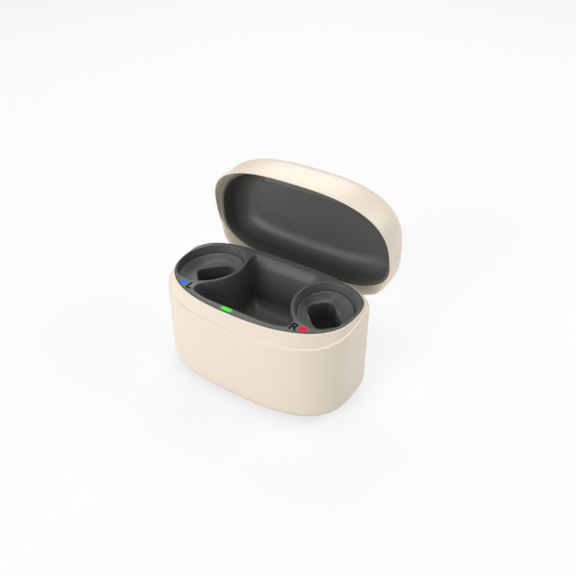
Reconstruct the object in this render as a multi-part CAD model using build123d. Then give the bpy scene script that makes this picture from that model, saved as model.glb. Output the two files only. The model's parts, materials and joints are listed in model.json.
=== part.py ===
from build123d import *
import math
import os

# A pocket charger for two hearing aids, drawn with its lid open.
# X runs along the case towards the right-ear pocket, Y runs from the front to the
# hinge, Z is up. The origin is in the middle of the footprint, on the table.
# All sizes are in millimetres.

# The case seen from above: an oval with a squarer back than front.
outline_centre_y = 2.2
case_half_length = 38.2
case_front_reach = 24.0
case_back_reach = 19.6
case_front_roundness = 2.8
case_back_roundness = 3.2
outline_point_count = 48

# The dark deck inside the case, seen from above.
deck_half_length = 36.5
deck_front_reach = 22.0
deck_back_reach = 16.2
deck_front_roundness = 2.44
deck_back_roundness = 3.2
deck_z = 39.4

# The base shell and the line where the lid meets it.
foot_proud = 0.4
cover_height = 2.0
bottom_rounding = 5.5
shell_wall = 2.2
shell_top_thickness = 2.0
crease_front_drop = 6.2
crease_tilt = 10.0
crease_ledge = 0.7
land_width = 0.5
land_drop = 0.4
step_y = 9.6
band_overhang = 0.06
band_root = 1.0
rear_shelf_drop = 2.9
lid_gap = 0.3

# The lid.
lid_rise = 14.2
lid_edge_rounding = 9.0
lid_shell_roof = 1.5
liner_wall = 0.9
liner_roof = 1.0
liner_lip_inset = 0.4
liner_edge_rounding = 8.0
liner_gap = 0.1
liner_pad_half_length = 16.0
liner_pad_depth = 1.8
liner_pad_height = 6.0
lid_open_angle = 88.0

# The hinge: its pin lies inside the back wall, below the deck.
hinge_inset = 3.4
hinge_drop = 7.5
hinge_clearance = 0.3
knuckle_half_length = 13.0
knuckle_wall_inset = 0.3
knuckle_front = 0.9
cheek_length = 6.0
cheek_radius = 3.0
pin_radius = 1.0
pin_press_gap = 0.01
pin_running_gap = 0.05
rear_rim_radius = 4.9
lid_back_edge_rise = 4.2
notch_floor_drop = 4.1

# The deck tray with its middle well.
tray_flange = 1.4
tray_gap = 0.12
tray_seat_width = 0.7
tray_edge_rounding = 0.35
well_depth = 22.0
well_wall = 0.9
well_front_y = -17.3
well_back_y = 15.3
well_back_lean = 1.8
well_back_lean_height = 4.5
well_front_half_length = 20.3
well_back_half_length = 14.2
well_deck_margin = 1.85
well_corner_radius = 2.0
pocket_rim_width = 0.8

# The two ear pockets, mirror images of each other.
pocket_x = 24.9
pocket_y = 1.8
pocket_turn = 22.0
pocket_half_width = 11.3
pocket_half_depth = 14.0
pocket_deck_margin = 0.6
cup_step_drop = 2.2
cup_mouth_inset = 2.0
cup_flange = 0.5
cup_flange_height = 1.6
cup_neck_overlap = 0.3
cup_fit_gap = 0.1
sleeve_wall = 1.0
sleeve_height = 3.6
slot_x = 23.6
slot_y = 3.0
slot_turn = 45.0
slot_half_length = 7.2
slot_half_width = 5.1
slot_roundness = 4.0
slot_rim_drop = 6.0
slot_depth = 19.0
cup_wall = 1.0
cup_floor = 1.2

# The sprung charging contacts in the bottom of each slot.
contact_spacing = 4.0
contact_travel = 0.8
tip_radius = 0.55
tip_height_pressed = 0.1
tip_hole_gap = 0.08
collar_radius = 0.75
collar_height = 0.5
collar_gap = 0.06
barrel_wall = 0.3
barrel_floor = 0.3
carrier_length = 9.0
carrier_width = 5.0
carrier_height = 4.0
contact_block_length = 5.0
contact_block_width = 2.0

# Ear marks, status light and magnets.
side_dot_x = 25.2
side_dot_y = -13.8
side_dot_radius = 1.4
side_dot_depth = 0.8
lens_x = -2.7
lens_y = -18.5
lens_length = 4.4
lens_width = 1.8
lens_stem_length = 2.4
lens_stem_width = 0.6
lens_stem_back_y = -18.35
lens_stem_drop = 8.4
light_board_thickness = 0.6
light_board_width = 8.0
light_board_back_y = -18.75
light_chip_length = 1.6
light_chip_height = 0.8
light_chip_gap = 0.3
magnet_x = 7.5
magnet_length = 5.0
magnet_thickness = 1.2
magnet_height = 3.4
magnet_gap = 0.05
base_magnet_back_y = -18.55
base_magnet_top_drop = 2.0
lid_magnet_back_y = -18.3
lid_magnet_rise = 1.2

# The battery and the main board.
pad_thickness = 0.6
battery_length = 50.0
battery_width = 29.0
battery_height = 6.6
battery_y = 0.5
battery_rounding = 1.5
board_z = 11.0
board_thickness = 1.0
board_half_length = 28.6
board_front_y = -14.5
board_back_y = 18.6
board_tongue_front_y = -19.35
board_tongue_half_length = 5.5
board_corner_radius = 3.0
board_post_radius = 2.2
board_post_x = 12.6
board_post_front_y = -10.0
board_post_back_x = 8.6
board_post_back_y = 9.0
board_screw_radius = 0.8
board_screw_head_radius = 1.6
board_screw_head_height = 0.9
board_screw_grip = 3.0
board_side_gap = 0.4
lead_radius = 0.45
lead_spacing = 3.2
lead_reach = 2.2
lead_bend_radius = 1.2
lead_z = 6.6
port_width = 9.0
port_height = 3.2
port_length = 7.4
port_wall = 0.3
port_recess = 0.8
port_gap = 0.25
port_tongue_width = 6.7
port_tongue_thickness = 0.7
chip_height = 1.0

# Screws and feet under the base cover.
screw_x = 29.0
screw_front_y = -8.0
screw_back_y = 12.0
screw_post_radius = 2.8
screw_post_height = 6.0
screw_post_rib = 1.6
cover_boss_height = 1.0
screw_radius = 1.0
screw_hole_gap = 0.12
screw_head_radius = 1.9
screw_head_height = 1.15
screw_head_spare = 0.1
screw_drive_radius = 0.7
screw_drive_depth = 0.5
screw_end_gap = 0.2
post_cap = 1.0
foot_radius = 3.6
foot_thickness = 1.0
foot_side_gap = 0.1
foot_rounding = 0.25
cover_rim_thickness = 1.2
cover_rim_height = 1.6
cover_rim_gap = 0.1

# Worked out from the sizes above.
case_front_y = outline_centre_y - case_front_reach
case_back_y = outline_centre_y + case_back_reach
case_bottom_z = foot_proud
cover_top_z = case_bottom_z + cover_height
hinge_y = case_back_y - hinge_inset
hinge_z = deck_z - hinge_drop
rear_shelf_z = deck_z - rear_shelf_drop
lid_top_z = deck_z + lid_rise
land_z = deck_z - land_drop
slot_floor_z = deck_z - slot_depth
carrier_top_z = slot_floor_z - cup_floor
carrier_bottom_z = carrier_top_z - carrier_height
well_floor_z = deck_z - well_depth
board_top_z = board_z + board_thickness
battery_z = cover_top_z + pad_thickness
screw_post_z = cover_top_z + cover_boss_height
head_seat_z = foot_thickness + screw_head_spare + screw_head_height
liner_lip_z = deck_z + lid_gap
far = 80.0
hinge_line = Axis((0, hinge_y, hinge_z), (1, 0, 0))
sides = {"left": -1, "right": 1}


def crease_z(y):
    """Height of the tilted line where the lid meets the base."""
    return deck_z - crease_front_drop + math.tan(math.radians(crease_tilt)) * (y - case_front_y)


def oval_point(half_length, front_reach, back_reach, front_round, back_round, turn):
    """The point of an oval at an angle about the outline centre."""
    c, s = math.cos(turn), math.sin(turn)
    power = back_round if s > 0 else front_round
    reach = back_reach if s > 0 else front_reach
    k = (abs(c) ** power + abs(s) ** power) ** (-1 / power)
    return half_length * c * k, outline_centre_y + reach * s * k


def case_sizes(grow):
    reaches = case_half_length + grow, case_front_reach + grow, case_back_reach + grow
    return (*reaches, case_front_roundness, case_back_roundness)


def deck_sizes(grow):
    reaches = deck_half_length + grow, deck_front_reach + grow, deck_back_reach + grow
    return (*reaches, deck_front_roundness, deck_back_roundness)


def oval_wire(sizes, z):
    turns = [2 * math.pi * i / outline_point_count for i in range(outline_point_count)]
    points = [Vector(*oval_point(*sizes, turn), z) for turn in turns]
    return Wire([Edge.make_spline(points, periodic=True)])


def case_wire(grow, z):
    return oval_wire(case_sizes(grow), z)


def deck_wire(grow, z):
    return oval_wire(deck_sizes(grow), z)


def front_wire(sizes, cut_y, height):
    """The part of an oval in front of a line across it, closed along that line."""
    back_reach, back_round = sizes[2], sizes[4]
    rise = (cut_y - outline_centre_y) / back_reach
    first = math.atan2(rise, (1 - rise**back_round) ** (1 / back_round))
    sweep_angle = math.pi + 2 * first
    turns = [first - sweep_angle * i / outline_point_count for i in range(outline_point_count + 1)]
    flat = [oval_point(*sizes, turn) for turn in turns]
    points = [Vector(x, y, height(y)) for x, y in flat]
    return Wire([Edge.make_spline(points), Edge.make_line(points[-1], points[0])])


def round_wire(x, y, z, half_length, half_width, roundness, turn):
    """A rounded oblong with its long side turned by an angle about Z."""
    points = []
    a = math.radians(turn)
    for i in range(outline_point_count):
        t = 2 * math.pi * i / outline_point_count
        c, s = math.cos(t - a), math.sin(t - a)
        k = (abs(c / half_length) ** roundness + abs(s / half_width) ** roundness) ** (-1 / roundness)
        points.append(Vector(x + k * math.cos(t), y + k * math.sin(t), z))
    return Wire([Edge.make_spline(points, periodic=True)])


def prism(wire, height):
    return extrude(Face(wire), amount=height, dir=(0, 0, 1))


def block(x0, x1, y0, y1, z0, z1):
    return Pos((x0 + x1) / 2, (y0 + y1) / 2, (z0 + z1) / 2) * Box(x1 - x0, y1 - y0, z1 - z0)


def post(x, y, z0, z1, radius):
    return Pos(x, y, (z0 + z1) / 2) * Cylinder(radius, z1 - z0)


def rod(x0, x1, y, z, radius):
    """A round bar along X."""
    return Pos((x0 + x1) / 2, y, z) * Rot(0, 90, 0) * Cylinder(radius, x1 - x0)


def side_slab(points):
    """A slab right across the case whose side view, in Y and Z, is the polygon."""
    face = Face(Wire.make_polygon([(-far, y, z) for y, z in points], close=True))
    return extrude(face, amount=2 * far, dir=(1, 0, 0))


def region_below_parting(drop):
    """Everything under the tilted line and, behind the step, under the rear shelf.

    At the very back the shelf rolls down about the hinge so that the lid can swing past.
    """
    shelf = rear_shelf_z - drop
    step = step_y - drop
    radius = rear_rim_radius - drop
    start = math.asin((shelf - hinge_z) / radius)
    arc = [
        (hinge_y + radius * math.cos(turn), hinge_z + radius * math.sin(turn)) for turn in (start, start / 2, 0)
    ]
    front = [arc[2], (far, hinge_z), (far, -far), (-far, -far), (-far, crease_z(-far) - drop)]
    outline = [Vector(-far, *point) for point in front + [(step, crease_z(step) - drop), (step, shelf), arc[0]]]
    curve = Edge.make_three_point_arc(*[Vector(-far, *point) for point in arc])
    lines = [Edge.make_line(a, b) for a, b in zip(outline, outline[1:])]
    return extrude(Face(Wire(lines + [curve])), amount=2 * far, dir=(1, 0, 0))


def case_body():
    """The full outer form of case and base cover, rounded along the bottom."""
    body = prism(case_wire(0, case_bottom_z), deck_z - case_bottom_z + lid_rise)
    return fillet(body.edges().group_by(Axis.Z)[0], bottom_rounding)


def shoulder(grow):
    """The sloping band from the crease up to the deck, with a plain collar behind the step."""
    cut_y = step_y + band_overhang + grow
    foot = case_sizes(grow - crease_ledge)
    sections = [
        front_wire(foot, cut_y, lambda y: crease_z(y) - band_root),
        front_wire(foot, cut_y, crease_z),
        front_wire(deck_sizes(land_width + grow), cut_y, lambda y: land_z),
    ]
    band = Part() + Solid.make_loft(sections, ruled=True)
    under = rear_shelf_z - band_root
    collar = prism(deck_wire(land_width + grow, under), land_z - under)
    return band + (collar & block(-far, far, step_y - band_root, far, under, far))


def hinge_notch():
    """The gap in the back wall that the lid's knuckle turns in."""
    half = knuckle_half_length + hinge_clearance
    reach = hinge_inset + hinge_clearance
    back = block(-half, half, hinge_y + land_width + 0.05, far, hinge_z - notch_floor_drop, deck_z)
    return rod(-half, half, hinge_y, hinge_z, reach) + back


def tray_opening():
    """The deck-shaped hole in the base, with the seat that the tray's flange lies on."""
    seat_z = deck_z - tray_flange
    return prism(deck_wire(tray_gap, seat_z), far) + prism(deck_wire(-tray_seat_width, seat_z - far), far + 1)


def base_shell():
    body = case_body() & region_below_parting(0)
    body -= block(-far, far, -far, far, -1, cover_top_z)
    body -= prism(case_wire(-shell_wall, 0), far) & region_below_parting(shell_top_thickness)
    body -= tray_opening()
    body += shoulder(0) - tray_opening()
    for side in sides.values():
        start = side * (knuckle_half_length + hinge_clearance)
        x0, x1 = sorted((start, start + side * cheek_length))
        body += rod(x0, x1, hinge_y, hinge_z, cheek_radius)
        for y in (screw_front_y, screw_back_y):
            body += screw_post(side, y)
        body -= base_magnet_pocket(side)
    body -= hinge_notch()
    end = knuckle_half_length + hinge_clearance + cheek_length
    body -= rod(-end, end, hinge_y, hinge_z, pin_radius + pin_press_gap)
    body -= port_opening()
    return body


def screw_post(side, y):
    """A post for a cover screw, tied to the end wall by a rib."""
    x = side * screw_x
    top = screw_post_z + screw_post_height
    x0, x1 = sorted((x, side * (case_half_length - 1.5 * shell_wall)))
    half = screw_post_rib / 2
    solid = post(x, y, screw_post_z, top, screw_post_radius)
    solid += block(x0, x1, y - half, y + half, screw_post_z, top)
    return solid - post(x, y, screw_post_z - 1, top - post_cap, screw_radius + pin_press_gap)


def base_magnet_pocket(side):
    x = side * magnet_x
    half = magnet_length / 2 + magnet_gap
    top = deck_z - base_magnet_top_drop + magnet_gap
    front = base_magnet_back_y - magnet_thickness - magnet_gap
    return block(x - half, x + half, front, well_front_y, top - magnet_height - 2 * magnet_gap, top)


def port_opening():
    z = board_top_z + port_height / 2
    w = port_width + 2 * port_gap
    h = port_height + 2 * port_gap
    hole = Pos(0, case_back_y, z) * Box(w, 2 * shell_wall + 2, h)
    return fillet(hole.edges().filter_by(Axis.Y), h / 2 - 0.05)


def base_cover():
    plate = case_body() & block(-far, far, -far, far, 0, cover_top_z)
    rim_out = -shell_wall - cover_rim_gap
    rim = prism(case_wire(rim_out, cover_top_z), cover_rim_height)
    rim -= prism(case_wire(rim_out - cover_rim_thickness, cover_top_z), cover_rim_height)
    for x, y in screw_places():
        rib = screw_post_rib / 2 + cover_rim_gap
        x0, x1 = sorted((x, math.copysign(far, x)))
        rim -= block(x0, x1, y - rib, y + rib, screw_post_z - cover_rim_gap, far)
        rim -= post(x, y, screw_post_z - cover_rim_gap, far, screw_post_radius + cover_rim_gap)
    cover = plate + rim
    for x, y in screw_places():
        cover += post(x, y, cover_top_z, screw_post_z, screw_post_radius)
        cover -= post(x, y, 0, foot_thickness, foot_radius + foot_side_gap)
        cover -= post(x, y, foot_thickness, head_seat_z, screw_head_radius + screw_hole_gap)
        cover -= post(x, y, 0, screw_post_z + 1, screw_radius + screw_hole_gap)
    return cover


def screw_places():
    return [(side * screw_x, y) for side in sides.values() for y in (screw_front_y, screw_back_y)]


def base_feet():
    feet = [post(x, y, 0, foot_thickness, foot_radius) for x, y in screw_places()]
    return [fillet(foot.edges().group_by(Axis.Z)[0], foot_rounding) for foot in feet]


def cover_screws():
    screws = []
    end = screw_post_z + screw_post_height - post_cap - screw_end_gap
    for x, y in screw_places():
        low = head_seat_z - screw_head_height
        head = post(x, y, low, head_seat_z, screw_head_radius)
        drive = post(x, y, low - 1, low + screw_drive_depth, screw_drive_radius)
        screws.append(head + post(x, y, head_seat_z, end, screw_radius) - drive)
    return screws


def pocket_wire(side, z, inset):
    """A pocket's oval at some height, drawn in from its rim."""
    width, depth = pocket_half_width - inset, pocket_half_depth - inset
    return round_wire(side * pocket_x, pocket_y, z, width, depth, 2, side * pocket_turn)


def well_column(grow, low_z, height):
    """The middle well seen from above: wide in front, waisted between the pockets."""
    front, back = well_front_half_length + grow, well_back_half_length + grow
    high_z = low_z + height
    column = block(-front, front, well_front_y - grow, pocket_y, low_z, high_z)
    column += block(-back, back, pocket_y, well_back_y + grow, low_z, high_z)
    for side in sides.values():
        column -= prism(pocket_wire(side, low_z, grow - pocket_rim_width), height)
    column &= prism(deck_wire(grow - well_deck_margin, low_z), height)
    return fillet(column.edges().filter_by(Axis.Z), well_corner_radius + grow)


def well_space(grow, floor_z, top_z):
    """The well with its back wall leaning forward over the hinge."""
    space = well_column(grow, floor_z, top_z - floor_z)
    low_y = well_back_y - well_back_lean + grow
    bend_z = deck_z - well_back_lean_height
    lean = side_slab(
        [(low_y, floor_z - 1), (low_y, bend_z), (well_back_y + grow, deck_z), (far, deck_z), (far, floor_z - 1)]
    )
    return space - lean


def pocket_funnel(side):
    """The upper slope of a pocket, kept inside the deck's edge."""
    step_z = deck_z - cup_step_drop
    cone = Solid.make_loft([pocket_wire(side, step_z, cup_mouth_inset), pocket_wire(side, deck_z, 0)], ruled=True)
    return (Part() + cone) & prism(deck_wire(-pocket_deck_margin, step_z - 1), far)


def deck_tray():
    tray = prism(deck_wire(0, deck_z - tray_flange), tray_flange)
    tray = fillet(tray.edges().group_by(Axis.Z)[-1], tray_edge_rounding)
    under_z = deck_z - tray_flange
    bore_inset = cup_mouth_inset - cup_flange - cup_fit_gap
    sleeve_low = deck_z - cup_step_drop - sleeve_height
    within = prism(deck_wire(-tray_seat_width - tray_gap, sleeve_low), far)
    for side in sides.values():
        sleeve = prism(pocket_wire(side, sleeve_low, bore_inset - sleeve_wall), under_z - sleeve_low)
        tray += sleeve & within
    tray += well_space(well_wall, well_floor_z - well_wall, under_z)
    tray -= well_space(0, well_floor_z, deck_z)
    for x, y in board_posts():
        tray += post(x, y, board_top_z, well_floor_z - well_wall / 2, board_post_radius)
        tray -= post(x, y, board_top_z, board_top_z + board_screw_grip, board_screw_radius + pin_press_gap)
    for side in sides.values():
        tray -= pocket_funnel(side)
        tray -= prism(pocket_wire(side, 0, bore_inset), deck_z - cup_step_drop)
        x = side * side_dot_x
        tray -= post(x, side_dot_y, deck_z - side_dot_depth, deck_z + 1, side_dot_radius + pin_press_gap)
    tray -= lens_form(pin_press_gap)
    tray -= rod(-far, far, hinge_y, hinge_z, hinge_inset + hinge_clearance)
    return tray


def board_posts():
    places = []
    for side in sides.values():
        places.append((side * board_post_x, board_post_front_y))
        places.append((side * board_post_back_x, board_post_back_y))
    return places


def slot_wire(side, z, grow):
    length, width = slot_half_length + grow, slot_half_width + grow
    return round_wire(side * slot_x, slot_y, z, length, width, slot_roundness, -side * slot_turn)


def pocket_cup(side):
    """The lower half of a pocket: an oval mouth that runs down into a turned slot."""
    step_z = deck_z - cup_step_drop
    neck_z = step_z - cup_flange_height
    slot_rim_z = deck_z - slot_rim_drop
    waist_z = slot_rim_z - cup_wall
    flange = prism(pocket_wire(side, neck_z, cup_mouth_inset - cup_flange), cup_flange_height)
    neck = pocket_wire(side, neck_z + cup_neck_overlap, cup_mouth_inset)
    cup = prism(slot_wire(side, carrier_top_z, cup_wall), waist_z - carrier_top_z)
    cup += Solid.make_loft([slot_wire(side, waist_z, cup_wall), neck], ruled=True)
    cup += flange
    mouth = pocket_wire(side, step_z, cup_mouth_inset)
    cup -= Solid.make_loft([slot_wire(side, slot_rim_z, 0), mouth], ruled=True)
    cup -= prism(slot_wire(side, slot_floor_z, 0), slot_rim_z - slot_floor_z)
    for x, y in contact_places(side):
        cup -= post(x, y, carrier_top_z - 1, slot_floor_z + 1, tip_radius + tip_hole_gap)
    return cup


def contact_places(side):
    """The two contacts of a slot, in line with its long side, front one first."""
    a = math.radians(slot_turn)
    half = contact_spacing / 2
    x, y = side * slot_x, slot_y
    return [
        (x + side * half * math.cos(a), y - half * math.sin(a)),
        (x - side * half * math.cos(a), y + half * math.sin(a)),
    ]


def contact_carrier(side):
    place = Pos(side * slot_x, slot_y, (carrier_top_z + carrier_bottom_z) / 2) * Rot(0, 0, -side * slot_turn)
    carrier = place * Box(carrier_length, carrier_width, carrier_height)
    for x, y in contact_places(side):
        carrier -= post(x, y, carrier_bottom_z - 1, carrier_top_z + 1, barrel_radius())
    return carrier


def barrel_radius():
    return collar_radius + collar_gap + barrel_wall


def contact_barrels():
    barrels = []
    for side in sides.values():
        for x, y in contact_places(side):
            barrel = post(x, y, carrier_bottom_z, carrier_top_z, barrel_radius())
            bore = collar_radius + collar_gap
            barrel -= post(x, y, carrier_bottom_z + barrel_floor, carrier_top_z + 1, bore)
            barrels.append(barrel)
    return barrels


def collar_bottom_z():
    return carrier_top_z - collar_height - collar_gap


def contact_plunger(x, y):
    low = collar_bottom_z()
    collar = post(x, y, low, low + collar_height, collar_radius)
    tip = post(x, y, low, slot_floor_z + tip_height_pressed + contact_travel, tip_radius)
    tip = fillet(tip.edges().group_by(Axis.Z)[-1], tip_radius * 0.8)
    return tip + collar


def contact_spring(x, y):
    """A sleeve in place of the tiny coil that pushes the plunger up."""
    low = carrier_bottom_z + barrel_floor
    sleeve = post(x, y, low, collar_bottom_z(), collar_radius - 0.1)
    return sleeve - post(x, y, low - 1, collar_bottom_z() + 1, collar_radius - 0.35)


def contact_block(side):
    half_length, half_width = contact_block_length / 2, contact_block_width / 2
    x = side * slot_x
    return block(
        x - half_length, x + half_length, slot_y - half_width, slot_y + half_width, board_top_z, carrier_bottom_z
    )


def side_dot(side):
    return post(side * side_dot_x, side_dot_y, deck_z - side_dot_depth, deck_z, side_dot_radius)


def lens_form(grow):
    """The light window in the deck's front rim and the stem under it."""
    window = Pos(lens_x, lens_y, deck_z - tray_flange / 2)
    window = window * Box(lens_length + 2 * grow, lens_width + 2 * grow, tray_flange)
    window = fillet(window.edges().filter_by(Axis.Z), lens_width * 0.42)
    half = lens_stem_length / 2 + grow
    back = lens_stem_back_y + grow
    front = lens_stem_back_y - lens_stem_width - grow
    return window + block(lens_x - half, lens_x + half, front, back, deck_z - lens_stem_drop, deck_z - tray_flange / 2)


def light_board():
    half = light_board_width / 2
    front = light_board_back_y - light_board_thickness
    top = light_chip_top_z()
    return block(lens_x - half, lens_x + half, front, light_board_back_y, board_top_z, top)


def light_chip_top_z():
    return deck_z - lens_stem_drop - light_chip_gap


def light_chip():
    top = light_chip_top_z()
    half = light_chip_length / 2
    back = well_front_y - well_wall - 0.1
    return block(lens_x - half, lens_x + half, light_board_back_y, back, top - light_chip_height, top)


def magnets(back_y, low_z):
    bars = []
    half = magnet_length / 2
    for side in sides.values():
        x = side * magnet_x
        bars.append(block(x - half, x + half, back_y - magnet_thickness, back_y, low_z, low_z + magnet_height))
    return bars


def battery():
    x = battery_length / 2
    y = battery_width / 2
    cell = block(-x, x, battery_y - y, battery_y + y, battery_z, battery_z + battery_height)
    return fillet(cell.edges(), battery_rounding)


def battery_pad():
    x = battery_length / 2 - battery_rounding
    y = battery_width / 2 - battery_rounding
    return block(-x, x, battery_y - y, battery_y + y, cover_top_z, battery_z)


def battery_leads():
    leads = []
    start = battery_length / 2
    for side in sides.values():
        y = battery_y + side * lead_spacing / 2
        path = FilletPolyline(
            (start, y, lead_z), (start + lead_reach, y, lead_z), (start + lead_reach, y, board_z), radius=lead_bend_radius
        )
        profile = Plane(origin=(start, y, lead_z), z_dir=(1, 0, 0)) * Circle(lead_radius)
        leads.append(sweep(profile, path=path))
    return leads


def main_board():
    plate = block(-board_half_length, board_half_length, board_front_y, board_back_y, board_z, board_top_z)
    plate = fillet(plate.edges().filter_by(Axis.Z), board_corner_radius)
    plate &= prism(case_wire(-shell_wall - board_side_gap, board_z), board_thickness)
    tongue = board_tongue_half_length
    plate += block(lens_x - tongue, lens_x + tongue, board_tongue_front_y, board_front_y + 1, board_z, board_top_z)
    for x, y in board_posts():
        plate -= post(x, y, board_z - 1, board_top_z + 1, board_screw_radius + screw_hole_gap)
    return plate


def board_screws():
    screws = []
    for x, y in board_posts():
        head = post(x, y, board_z - board_screw_head_height, board_z, board_screw_head_radius)
        shank = post(x, y, board_z, board_top_z + board_screw_grip - screw_end_gap, board_screw_radius)
        screws.append(head + shank)
    return screws


def board_chips():
    places = [(-18, -7, 6, 6), (19, -8, 5, 4), (-8, 2, 7, 5), (6, 1, 3, 3), (0, -9, 4, 3), (-17, 11, 3.2, 2.4)]
    return [
        Pos(x, y, board_top_z + chip_height / 2) * Box(length, width, chip_height) for x, y, length, width in places
    ]


def port_shell():
    """The steel sleeve of the charging socket, standing on the board."""
    y1 = case_back_y - port_recess
    y0 = y1 - port_length
    z = board_top_z + port_height / 2
    sleeve = Pos(0, (y0 + y1) / 2, z) * Box(port_width, port_length, port_height)
    sleeve = fillet(sleeve.edges().filter_by(Axis.Y), port_height / 2 - 0.05)
    inner = Pos(0, (y0 + y1) / 2 + 1, z) * Box(port_width - 2 * port_wall, port_length, port_height - 2 * port_wall)
    inner = fillet(inner.edges().filter_by(Axis.Y), port_height / 2 - port_wall - 0.05)
    return sleeve - inner


def port_tongue():
    y1 = case_back_y - port_recess
    y0 = y1 - port_length + 1
    z = board_top_z + port_height / 2
    half = port_tongue_width / 2
    thick = port_tongue_thickness / 2
    return block(-half, half, y0, y1 - 0.6, z - thick, z + thick)


def hinge_pin():
    end = knuckle_half_length + hinge_clearance + cheek_length
    return rod(-end, end, hinge_y, hinge_z, pin_radius)


def lid_reach():
    """Where the closed lid may be: above the parting line, clear of the back rim."""
    z = rear_shelf_z + lid_gap
    y = step_y + lid_gap
    return side_slab(
        [
            (-far, far),
            (-far, crease_z(-far) + lid_gap),
            (y, crease_z(y) + lid_gap),
            (y, z),
            (hinge_y, z),
            (hinge_y, hinge_z + lid_back_edge_rise),
            (far, hinge_z + lid_back_edge_rise),
            (far, far),
        ]
    )


def lid_form(grow, top_z, rounding):
    form = prism(case_wire(grow, hinge_z), top_z - hinge_z)
    return fillet(form.edges().group_by(Axis.Z)[-1], rounding)


def liner_form(grow, top_z, rounding):
    form = prism(deck_wire(grow, liner_lip_z), top_z - liner_lip_z)
    return fillet(form.edges().group_by(Axis.Z)[-1], rounding)


def lid_shell_closed():
    shell = lid_form(0, lid_top_z, lid_edge_rounding) & lid_reach()
    shell -= shoulder(lid_gap)
    mouth = land_width + lid_gap + band_overhang
    shell -= prism(deck_wire(mouth, rear_shelf_z - 1), liner_lip_z - rear_shelf_z + 1)
    liner_top = lid_top_z - lid_shell_roof
    shell -= liner_form(liner_outer() + liner_gap, liner_top, liner_edge_rounding)
    shell -= rod(-far, far, hinge_y, hinge_z, rear_rim_radius + lid_gap)
    half = knuckle_half_length
    web_top = hinge_z + rear_rim_radius + 2
    shell += rod(-half, half, hinge_y, hinge_z, hinge_inset - knuckle_wall_inset)
    shell += block(-half, half, hinge_y + knuckle_front, case_back_y, hinge_z, web_top) & case_body()
    shell -= rod(-far, far, hinge_y, hinge_z, pin_radius + pin_running_gap)
    return shell


def liner_outer():
    return liner_wall - liner_lip_inset


def lid_liner_closed():
    top = lid_top_z - lid_shell_roof - liner_gap
    liner = liner_form(liner_outer(), top, liner_edge_rounding - liner_gap)
    cavity = liner_form(-liner_lip_inset, top - liner_roof, liner_edge_rounding - liner_roof)
    half = liner_pad_half_length
    pad_back = outline_centre_y - deck_front_reach + liner_pad_depth
    cavity -= block(-half, half, -far, pad_back, 0, liner_lip_z + liner_pad_height)
    liner -= cavity
    for side in sides.values():
        x = side * magnet_x
        reach = magnet_length / 2 + magnet_gap
        low = deck_z + lid_magnet_rise - magnet_gap
        front = lid_magnet_back_y - magnet_thickness - magnet_gap
        high = low + magnet_height + 2 * magnet_gap
        liner -= block(x - reach, x + reach, front, lid_magnet_back_y + magnet_gap, low, high)
    return liner


def opened(shape):
    """Swings a closed lid piece up to where the photograph shows it."""
    return shape.rotate(hinge_line, -lid_open_angle)


def save(name, shape):
    solids = shape if isinstance(shape, list) else [shape]
    found = [solid for piece in solids for solid in piece.solids()]
    whole = found[0] if len(found) == 1 else Compound(found)
    export_step(whole, f"parts/{name}.step")


def main():
    os.makedirs("parts", exist_ok=True)
    save("base_shell", base_shell())
    save("base_cover", base_cover())
    save("base_feet", base_feet())
    save("cover_screws", cover_screws())
    save("deck_tray", deck_tray())
    for name, side in sides.items():
        save(f"pocket_cup_{name}", pocket_cup(side))
        save(f"contact_carrier_{name}", contact_carrier(side))
        save(f"contact_block_{name}", contact_block(side))
        save(f"side_dot_{name}", side_dot(side))
        for place, (x, y) in zip(("front", "back"), contact_places(side)):
            save(f"contact_plunger_{name}_{place}", contact_plunger(x, y))
            save(f"contact_spring_{name}_{place}", contact_spring(x, y))
    save("contact_barrels", contact_barrels())
    save("status_light_lens", lens_form(0))
    save("light_board", light_board())
    save("light_chip", light_chip())
    save("base_magnets", magnets(base_magnet_back_y, deck_z - base_magnet_top_drop - magnet_height))
    save("battery", battery())
    save("battery_pad", battery_pad())
    save("battery_leads", battery_leads())
    save("main_board", main_board())
    save("board_screws", board_screws())
    save("board_chips", board_chips())
    save("port_shell", port_shell())
    save("port_tongue", port_tongue())
    save("hinge_pin", hinge_pin())
    save("lid_shell", opened(lid_shell_closed()))
    save("lid_liner", opened(lid_liner_closed()))
    save("lid_magnets", [opened(bar) for bar in magnets(lid_magnet_back_y, deck_z + lid_magnet_rise)])


main()
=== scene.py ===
import bmesh
import bpy
import json
import math
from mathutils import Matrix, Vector


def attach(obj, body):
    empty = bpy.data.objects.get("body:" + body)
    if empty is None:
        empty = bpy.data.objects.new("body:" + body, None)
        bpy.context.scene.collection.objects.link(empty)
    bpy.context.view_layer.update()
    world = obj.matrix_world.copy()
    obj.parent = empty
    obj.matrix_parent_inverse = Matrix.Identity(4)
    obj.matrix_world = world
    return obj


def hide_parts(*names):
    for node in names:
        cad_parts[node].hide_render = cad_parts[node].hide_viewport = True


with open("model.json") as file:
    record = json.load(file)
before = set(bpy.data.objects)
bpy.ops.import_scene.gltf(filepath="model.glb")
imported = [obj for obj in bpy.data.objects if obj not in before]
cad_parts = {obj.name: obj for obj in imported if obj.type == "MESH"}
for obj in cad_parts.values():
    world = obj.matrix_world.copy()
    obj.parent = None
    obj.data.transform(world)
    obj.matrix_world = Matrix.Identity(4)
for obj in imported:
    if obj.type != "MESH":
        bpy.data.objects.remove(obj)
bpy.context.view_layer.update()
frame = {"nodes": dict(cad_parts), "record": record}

print("stage: frame loaded")

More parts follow.
